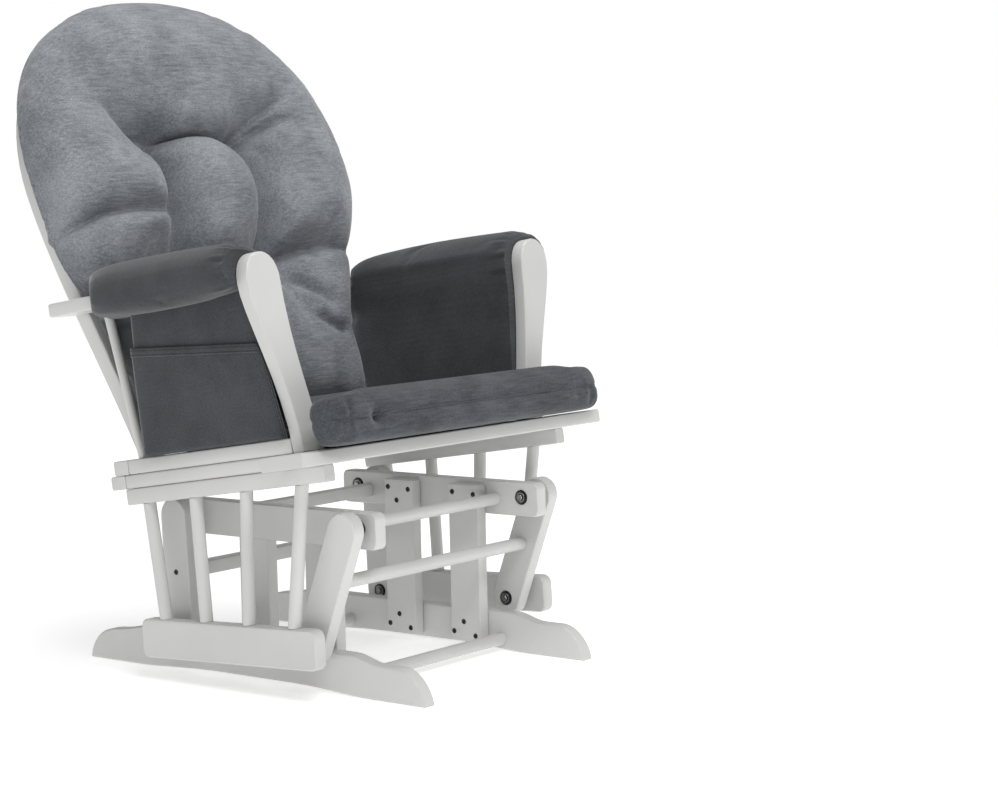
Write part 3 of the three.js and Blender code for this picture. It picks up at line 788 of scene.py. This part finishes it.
def seat_outline(inset):
    """Half of the plan outline (x, v), front to rear, drawn in from the finished size by inset."""
    half = [(0, -253), (150, -254), (244, -254), (274, -249), (291, -238), (294, -223), (283, -209)]
    half += [(246, -196), (225, -182), (213, -160), (211, -140), (211, 60), (208, 92), (196, 108), (170, 114)]
    points = half + [(-x, v) for x, v in reversed(half[1:])]
    plan = np.array(points, float)
    ahead = np.roll(plan, -1, axis=0) - np.roll(plan, 1, axis=0)
    outward = np.column_stack((ahead[:, 1], -ahead[:, 0]))
    outward /= np.linalg.norm(outward, axis=1, keepdims=True)
    return plan - outward * inset


def seat_cushion_solid():
    """The outline stacked in layers whose edges draw in towards the top and bottom panels."""
    steps = 8
    half = (SEAT_TOP - SEAT_LOW) / 2
    verts = []
    for i in range(steps + 1):
        angle = -math.pi / 2 + math.pi * i / steps
        inset = 1 + 20 * (1 - math.cos(angle)) ** 1.5
        w = SEAT_LOW + half + half * math.sin(angle)
        verts += [(x * MM, v * MM, w * MM) for x, v in seat_outline(inset)]
    return verts, tube_faces(steps + 1, len(seat_outline(0)))


def make_seat_cushion():
    piece = new_piece("seat_cushion_cover", *seat_cushion_solid(), SEAT_CLOTH)
    soften(piece, voxel=6.0, rounds=5)
    fit(piece, *SEAT_BOX)
    flat_bottom = coordinates(piece.data)[:, 2] / MM < SEAT_LOW + 4
    inflate(piece, flat_bottom, pressure=3.0, cap=7.0)
    fit(piece, *SEAT_BOX)
    subdivide(piece)
    sew_seat(piece)
    place_on_seat(seat_piping(piece), TO_SEAT)
    place_soft(piece, TO_SEAT, "seat_cushion")


def seat_piping(piece):
    """The seam along the front edge, from one side of the cushion to the other."""
    ears = -186  # v at which the cushion's front corners end
    outline = np.vstack((seat_outline(0)[-12:], seat_outline(0)[:12]))
    spacing = np.concatenate(([0], np.cumsum(np.linalg.norm(np.diff(outline, axis=0), axis=1))))
    even = np.linspace(0, spacing[-1], 160)
    plan = np.column_stack([np.interp(even, spacing, outline[:, axis]) for axis in (0, 1)])
    ahead = np.gradient(plan, axis=0)
    outward = np.column_stack((ahead[:, 1], -ahead[:, 0])) / np.linalg.norm(ahead, axis=1, keepdims=True)
    kept = plan[:, 1] < ears
    height = np.full((kept.sum(), 1), SEAT_SEAM)
    starts = np.hstack((plan[kept] + outward[kept] * 14, height)) * MM
    targets = np.hstack((plan[kept] - outward[kept] * 20, height)) * MM
    return sewn_cord(piece, "seat_cushion_seam", starts, targets, radius=1.3, sunk=0.2)


def sew_seat(piece):
    """The seam round the edge, the tuft near the right front corner and the short upright seams there."""
    co = coordinates(piece.data)
    normals = vertex_normals(piece.data)
    x, v, w = (co / MM).T
    face = np.column_stack((x, w))
    pull = 17.0 * fall_off(np.linalg.norm(face - SEAT_TUFT, axis=1), 11.0, 1.3)
    for line, first, last, width in SEAT_CREASES:
        gap, share = distance_to_line(face, line)
        pull = np.maximum(pull, (first + (last - first) * share) * fall_off(gap, width, 1.3))
    in_front = v < -150
    pull *= in_front * np.clip(-normals[:, 1] * 1.4, 0, 1)
    upright = np.clip((1 - np.abs(normals[:, 2])) * 1.6 - 0.5, 0, 1)
    seam = 2.0 * fall_off(w - SEAT_SEAM, 3.2, 2) * upright
    co -= normals * (np.maximum(pull, seam) * MM)[:, None]
    set_coordinates(piece.data, co)


# ---- Arm cushions ----
ARM_FRONT = -145.9  # between the arm post's rear face and the arm board's end
ARM_BOX = ((221, 68), (337, 321))  # the pad's section, low and high (x, w)
PAD_MIDDLE = 286.0  # height of the middle of the pad over the arm board
FLAP_LOW = 62.0
FLAP_HIGH = 258.0
FLAP_FRONT = -144.0
FLAP_REAR = 116.0  # where the rear edge starts at the bottom
FLAP_LEAN = 45.0  # how far forward the rear edge leans over the flap's height
HEM_WIDTH = 12.0


def arm_section():
    """The pad over the arm board and the inner panel below it, as (x, w) for the sitter's left side."""
    outer = [(268, 255), (300, 254), (325, 255), (335, 264), (337, 284), (331, 303)]
    crown = [(314, 316), (292, 321), (270, 318), (255, 307), (247, 288)]
    inside = [(243, 262), (241, 230), (237, 190), (231, 150), (225, 112), (221, 84), (221, 74)]
    hem = [(226, 68), (234, 68), (239, 76)]
    inner_back = [(243, 112), (248, 160), (255, 205), (262, 240)]
    return outer + crown + inside + hem + inner_back


def back_cushion_face(x, w):
    """The v at which the back cushion's front begins, for arrays of x and w; far to the rear beside it."""
    v = np.full(len(x), 140.0)
    sine, cosine = math.sin(BACK_RECLINE), math.cos(BACK_RECLINE)
    for _ in range(4):
        t = (v - BACK_V) * sine + w * cosine
        half = back_half_width(t)
        swell = np.sqrt(np.clip(1 - (x / half) ** 2, 0, None))
        depth = RIM - CUSHION_FRONT * swell
        v = BACK_V + (depth + w * sine) / cosine
    return np.where(x < half, v, 400.0)


def arm_rear(x, w):
    """Where the pad ends at the rear: rounded in plan outside, along the hoop and back cushion inside."""
    plan = 176 - 79 * np.clip((x - 246) / 94, 0, 1) ** 1.45
    hoop = 113 + w * math.tan(BACK_RECLINE)
    pressed_in = 9  # how far the pad's end lies behind the back cushion's side
    return np.minimum(np.minimum(plan, hoop), back_cushion_face(x, w) + pressed_in)


def make_arm_pad(name, side):
    straight = 150.0  # where the pad ends at the rear before it is trimmed
    overlap = 18.0  # cut off again, so that the front end stays square against the arm post
    front = ARM_FRONT - overlap
    section = [(side * x, w) for x, w in arm_section()]
    piece = new_piece(f"{name}_arm_pad", *prism(section, front, straight), ARM_CLOTH)
    soften(piece, voxel=5.0, rounds=6)
    (near, low), (far, high) = ARM_BOX
    left, right = sorted((side * near, side * far))
    fit(piece, (left, front, low), (right, straight, high))
    x, _, w = (coordinates(piece.data) / MM).T
    under_board = (side * x > 262) & (w < 250)
    shape_pad(piece, side, straight)
    inflate(piece, under_board, pressure=2.5, cap=5.0)
    subdivide(piece)
    cut_flat(piece, ARM_FRONT)
    pucker_front(piece, side)
    place_soft(piece, TO_SEAT, f"{name}_arm_cushion")


def shape_pad(piece, side, straight):
    """Trims the rear end, plumps the pad's middle and draws the inner panel in at the rear."""
    co = coordinates(piece.data)
    x, v, w = (co / MM).T
    share = (v - ARM_FRONT) / (straight - ARM_FRONT)
    co[:, 1] = (ARM_FRONT + share * (arm_rear(side * x, w) - ARM_FRONT)) * MM
    belly = np.clip((w - 250) / 20, 0, 1) * np.sin(np.clip(share, 0, 1) * math.pi) ** 0.7
    rise = np.clip((w - 285) / 30, 0, 1) * (4 * share - 6)
    co[:, 2] += (rise + 4 * belly * np.sign(w - 285)) * MM
    co[:, 0] -= side * 9 * np.clip((v - 70) / 60, 0, 1) * np.clip((235 - w) / 60, 0, 1) * MM
    round_ends(co, side)
    set_coordinates(piece.data, co)


def round_ends(co, side):
    """Draws the pad's section in towards its middle over its two ends, as a pillow closes."""
    x, v, w = (co / MM).T
    in_pad = np.clip((w - 245) / 12, 0, 1)
    for past, reach, share in ((arm_rear(side * x, w) - v, 34.0, 0.30), (v - ARM_FRONT, 26.0, 0.36)):
        left = np.clip(past / reach, 0, 1)
        close = share * (1 - np.sqrt(1 - (1 - left) ** 2)) * in_pad
        co[:, 2] += (PAD_MIDDLE - w) * close * MM


def pucker_front(piece, side):
    """Gathers round the pad's front end, where the cover is drawn over the arm board."""
    co = coordinates(piece.data)
    normals = vertex_normals(piece.data)
    x, v, w = (co / MM).T
    angle = np.arctan2(w - 280, side * x - 292)
    ripple = np.sin(angle * 17) + 0.5 * np.sin(angle * 29 + 1.0)
    high = np.clip((w - 225) / 30, 0, 1)
    sideways = np.clip(1 - np.abs(normals[:, 1]) * 1.3, 0, 1)
    push = ripple * fall_off(np.abs(v - ARM_FRONT), 24.0, 2) * high * sideways * MM
    set_coordinates(piece.data, co + normals * (1, 0, 1) * push[:, None])


def hem_line(v):
    """Height of the middle of the pocket's hem, which rises to the rear."""
    return 183 + 0.095 * (v + 110)


def flap_x(w, v):
    """How far out the flap hangs, following the arm post's slope, with a slight belly."""
    share = min(max((w - FLAP_LOW) / (FLAP_HIGH - FLAP_LOW), 0), 1)
    belly = 5 * math.sin(math.pi * share) * math.cos((v + 20) / 130 * 1.2)
    wave = 1.1 * math.sin(v / 19.0 + w / 60.0) * (1 - share)
    return 259 + 36 * share**1.15 + belly + wave


def flap_layer(side, low, high, lift, thick, rows, grooves=()):
    """One closed cloth layer of the flap between the heights low(v) and high(v)."""
    verts = []
    faces = []
    columns = 56
    for face in (0, 1):
        for j in range(rows + 1):
            height = (low(0) + (high(0) - low(0)) * j / rows - FLAP_LOW) / (FLAP_HIGH - FLAP_LOW)
            rear = FLAP_REAR - FLAP_LEAN * height
            for i in range(columns + 1):
                v = FLAP_FRONT + (rear - FLAP_FRONT) * i / columns
                w = low(v) + (high(v) - low(v)) * j / rows
                edge = min(i, columns - i, j, rows - j)
                plump = thick * (0.45 if edge == 0 else 0.85 if edge == 1 else 1.0)
                dip = 1.1 if face and j in grooves else 0
                x = flap_x(w, v) + lift - dip + (plump / 2 if face else -plump / 2)
                verts.append((side * x * MM, v * MM, w * MM))
    width = columns + 1
    block = width * (rows + 1)
    for face in (0, 1):
        for j in range(rows):
            for i in range(columns):
                a = face * block + j * width + i
                faces.append((a, a + 1, a + width + 1, a + width))
    rim = [i for i in range(columns)]
    rim += [columns + j * width for j in range(rows)]
    rim += [rows * width + i for i in range(columns, 0, -1)]
    rim += [j * width for j in range(rows, 0, -1)]
    for a, b in zip(rim, rim[1:] + rim[:1]):
        faces.append((a, b, b + block, a + block))
    return verts, faces


def make_arm_flap(name, side):
    """The outer flap with its pocket: a backing layer, the pocket over it and the pocket's hem band."""
    verts = []
    faces = []
    half_hem = HEM_WIDTH / 2
    backing = (lambda v: FLAP_LOW, lambda v: FLAP_HIGH, 0.0, 6.0, 40)
    pocket = (lambda v: FLAP_LOW + 1.5, lambda v: hem_line(v) + half_hem - 1, 4.2, 3.4, 34)
    hem = (lambda v: hem_line(v) - half_hem, lambda v: hem_line(v) + half_hem, 5.4, 4.0, 12, (3, 9))
    for layer in (backing, pocket, hem):
        more, shapes = flap_layer(side, *layer)
        start = len(verts)
        verts += more
        faces += [tuple(start + i for i in shape) for shape in shapes]
    piece = new_piece(f"{name}_arm_flap", verts, faces, ARM_CLOTH)
    place_soft(piece, TO_SEAT, f"{name}_arm_cushion")


# ---- Stage ----
FLOOR_HALF = 6.0  # metres
BACKDROP_LIGHT = 0.45  # how strongly the white backdrop lights the chair
# Lamps: name, place and width in metres, and power in watts.
LAMPS = (
    ("key", (-1.3, -2.3, 3.0), 1.3, 47),
    ("top", (0.3, -0.2, 3.4), 1.4, 42),
)


def make_floor():
    corners = [(x * FLOOR_HALF, y * FLOOR_HALF, 0) for x, y in ((-1, -1), (1, -1), (1, 1), (-1, 1))]
    new_piece("floor", corners, [(0, 1, 2, 3)], floor_material())


def make_backdrop():
    """A white backdrop that lights the chair less strongly than it shows."""
    world = bpy.data.worlds.new("studio")
    world.use_nodes = True
    tree = world.node_tree
    background = tree.nodes["Background"]
    background.inputs["Color"].default_value = (1.0, 1.0, 1.0, 1)
    rays = tree.nodes.new("ShaderNodeLightPath")
    strength = tree.nodes.new("ShaderNodeMapRange")
    strength.inputs["To Min"].default_value = BACKDROP_LIGHT
    strength.inputs["To Max"].default_value = 1.0
    tree.links.new(rays.outputs["Is Camera Ray"], strength.inputs["Value"])
    tree.links.new(strength.outputs["Result"], background.inputs["Strength"])
    bpy.context.scene.world = world
    bpy.context.scene.view_settings.view_transform = "Standard"


def make_lamps():
    for name, place, width, power in LAMPS:
        light = bpy.data.lights.new(name, "AREA")
        light.energy = power
        light.size = width
        lamp = bpy.data.objects.new(name, light)
        lamp.location = place
        aim = Vector((0, 0, 0.45)) - Vector(place)
        lamp.rotation_euler = aim.to_track_quat("-Z", "Y").to_euler()
        bpy.context.scene.collection.objects.link(lamp)


def make_camera():
    """The camera stands low in front of the sitter's right side, about 3.2 m away."""
    azimuth = math.radians(-52.0)
    elevation = math.radians(4.9)
    roll = math.radians(-1.3)
    distance = 3.1594
    aim = Vector((0.114, (-186.5 - CENTRE_Y) * MM, 0.3755))
    towards = Vector((math.sin(azimuth), -math.cos(azimuth), 0)) * math.cos(elevation)
    towards.z = math.sin(elevation)
    camera = bpy.data.cameras.new("camera")
    camera.sensor_width = 36.0
    camera.lens = 82.2
    holder = bpy.data.objects.new("camera", camera)
    turn = (-towards).to_track_quat("-Z", "Y").to_matrix().to_4x4()
    holder.matrix_world = Matrix.Translation(aim + towards * distance) @ turn @ Matrix.Rotation(roll, 4, "Z")
    bpy.context.scene.collection.objects.link(holder)
    bpy.context.scene.camera = holder


make_camera()
make_floor()
make_backdrop()
make_lamps()
dress_frame()
add_screws()
add_pivot_details()
make_back_cushion()
make_seat_cushion()
for side_name, side_sign in SIDES:
    make_arm_pad(side_name, side_sign)
    make_arm_flap(side_name, side_sign)
